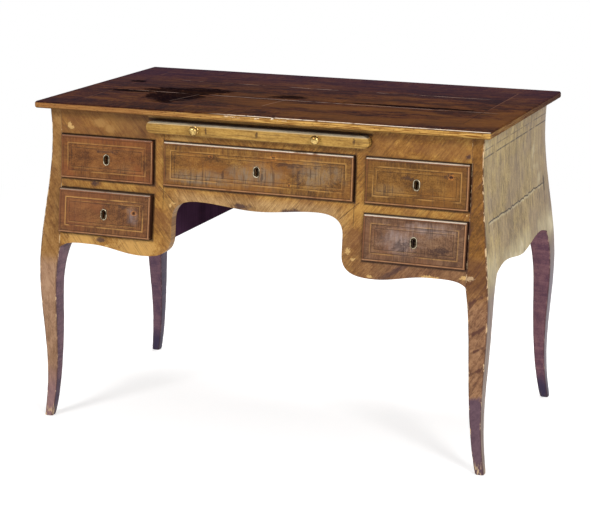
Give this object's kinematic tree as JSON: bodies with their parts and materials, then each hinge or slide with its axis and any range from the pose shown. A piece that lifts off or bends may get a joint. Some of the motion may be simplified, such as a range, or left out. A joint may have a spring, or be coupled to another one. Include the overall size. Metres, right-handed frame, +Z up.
{
  "type": "kneehole writing desk",
  "caption": "Walnut kneehole writing desk on cabriole legs, with pedestal and kneehole drawers that slide and a pull-out writing slide.",
  "frame": {"origin": "on the floor under the middle of the desk", "axes": "+Z up, front with the kneehole drawers towards -Y, +X along the length to the right"},
  "size_m": [1.1414, 0.664, 0.8],
  "materials": {
    "top_veneer": "worn dark walnut veneer, old polish",
    "leg_walnut": "solid walnut, worn polish",
    "side_veneer": "faded walnut veneer",
    "front_veneer": "golden walnut veneer",
    "drawer_veneer": "walnut veneer with line inlay",
    "inner_wood": "unfinished secondary wood",
    "lining": "grey-blue lining",
    "brass": "aged brass",
    "lock_iron": "dark iron"
  },
  "bodies": {
    "carcass": {"top_board": "top_veneer", "leg_front_left": "leg_walnut", "leg_front_right": "leg_walnut", "leg_rear_left": "leg_walnut", "leg_rear_right": "leg_walnut", "side_panel_left": "side_veneer", "side_panel_right": "side_veneer", "back_panel": "side_veneer", "top_rail": "front_veneer", "centre_apron": "front_veneer", "stile_left": "front_veneer", "middle_rail_left": "front_veneer", "apron_left": "front_veneer", "kneehole_side_left": "inner_wood", "dustboard_left": "inner_wood", "pedestal_bottom_left": "inner_wood", "stile_right": "front_veneer", "middle_rail_right": "front_veneer", "apron_right": "front_veneer", "kneehole_side_right": "inner_wood", "dustboard_right": "inner_wood", "pedestal_bottom_right": "inner_wood", "centre_board": "inner_wood", "slide_bed": "inner_wood", "drawer_guides": "inner_wood", "slide_bearers": "inner_wood"},
    "writing_slide": {"slide_strip": "front_veneer", "slide_board": "inner_wood", "slide_lining": "lining", "slide_knobs": "brass"},
    "drawer_middle": {"drawer_middle_front": "drawer_veneer", "drawer_middle_escutcheon": "brass", "drawer_middle_sides": "inner_wood", "drawer_middle_back": "inner_wood", "drawer_middle_bottom": "inner_wood", "drawer_middle_lock": "lock_iron"},
    "drawer_left_upper": {"drawer_left_upper_front": "drawer_veneer", "drawer_left_upper_escutcheon": "brass", "drawer_left_upper_sides": "inner_wood", "drawer_left_upper_back": "inner_wood", "drawer_left_upper_bottom": "inner_wood", "drawer_left_upper_lock": "lock_iron"},
    "drawer_left_lower": {"drawer_left_lower_front": "drawer_veneer", "drawer_left_lower_escutcheon": "brass", "drawer_left_lower_sides": "inner_wood", "drawer_left_lower_back": "inner_wood", "drawer_left_lower_bottom": "inner_wood", "drawer_left_lower_lock": "lock_iron"},
    "drawer_right_upper": {"drawer_right_upper_front": "drawer_veneer", "drawer_right_upper_escutcheon": "brass", "drawer_right_upper_sides": "inner_wood", "drawer_right_upper_back": "inner_wood", "drawer_right_upper_bottom": "inner_wood", "drawer_right_upper_lock": "lock_iron"},
    "drawer_right_lower": {"drawer_right_lower_front": "drawer_veneer", "drawer_right_lower_escutcheon": "brass", "drawer_right_lower_sides": "inner_wood", "drawer_right_lower_back": "inner_wood", "drawer_right_lower_bottom": "inner_wood", "drawer_right_lower_lock": "lock_iron"}
  },
  "joints": [
    {"name": "slide_pull", "type": "slide", "parent": "carcass", "child": "writing_slide", "axis": [0, -1, 0], "range_m": [-0.02, 0.3]},
    {"name": "drawer_middle_slide", "type": "slide", "parent": "carcass", "child": "drawer_middle", "axis": [0, -1, 0], "range_m": [0, 0.36]},
    {"name": "drawer_left_upper_slide", "type": "slide", "parent": "carcass", "child": "drawer_left_upper", "axis": [0, -1, 0], "range_m": [0, 0.36]},
    {"name": "drawer_left_lower_slide", "type": "slide", "parent": "carcass", "child": "drawer_left_lower", "axis": [0, -1, 0], "range_m": [-0.006, 0.36]},
    {"name": "drawer_right_upper_slide", "type": "slide", "parent": "carcass", "child": "drawer_right_upper", "axis": [0, -1, 0], "range_m": [0, 0.36]},
    {"name": "drawer_right_lower_slide", "type": "slide", "parent": "carcass", "child": "drawer_right_lower", "axis": [0, -1, 0], "range_m": [0, 0.36]}
  ]
}
